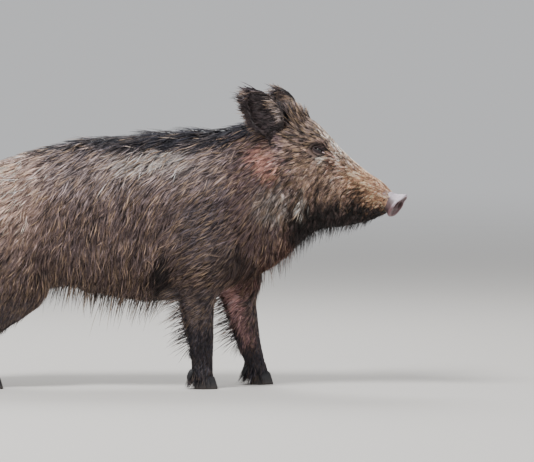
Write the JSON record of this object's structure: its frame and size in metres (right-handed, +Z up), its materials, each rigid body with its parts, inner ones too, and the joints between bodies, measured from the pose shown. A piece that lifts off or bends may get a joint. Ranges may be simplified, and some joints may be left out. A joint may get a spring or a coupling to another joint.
{
  "type": "wild boar model",
  "caption": "Still life-size model of a young wild boar standing with its head turned a little to its right and one fore foot ahead, covered in coarse bristles.",
  "frame": {"origin": "on the floor under the middle of the bounding box", "axes": "+X the way the body faces, +Y to the animal's left, +Z up"},
  "size_m": [1.2786, 0.2942, 0.7919],
  "materials": {
    "coat": "coarse grey-brown bristles, tipped pale, over dark skin",
    "nose_skin": "bare moist grey-pink skin",
    "eye": "wet, nearly black",
    "claw_horn": "dark worn horn"
  },
  "bodies": {
    "root": {"trunk": "coat", "neck": "coat", "head": "coat", "lower_jaw": "coat", "snout": "nose_skin", "tail": "coat", "ear_left": "coat", "ear_right": "coat", "eye_left": "eye", "eye_right": "eye", "fore_leg_left": "coat", "fore_foot_left": "coat", "fore_leg_right": "coat", "fore_foot_right": "coat", "hind_leg_left": "coat", "hind_foot_left": "coat", "hind_leg_right": "coat", "hind_foot_right": "coat", "claw_fore_left_left": "claw_horn", "dewclaw_fore_left_left": "claw_horn", "claw_fore_left_right": "claw_horn", "dewclaw_fore_left_right": "claw_horn", "claw_fore_right_left": "claw_horn", "dewclaw_fore_right_left": "claw_horn", "claw_fore_right_right": "claw_horn", "dewclaw_fore_right_right": "claw_horn", "claw_hind_left_left": "claw_horn", "dewclaw_hind_left_left": "claw_horn", "claw_hind_left_right": "claw_horn", "dewclaw_hind_left_right": "claw_horn", "claw_hind_right_left": "claw_horn", "dewclaw_hind_right_left": "claw_horn", "claw_hind_right_right": "claw_horn", "dewclaw_hind_right_right": "claw_horn"}
  },
  "joints": []
}
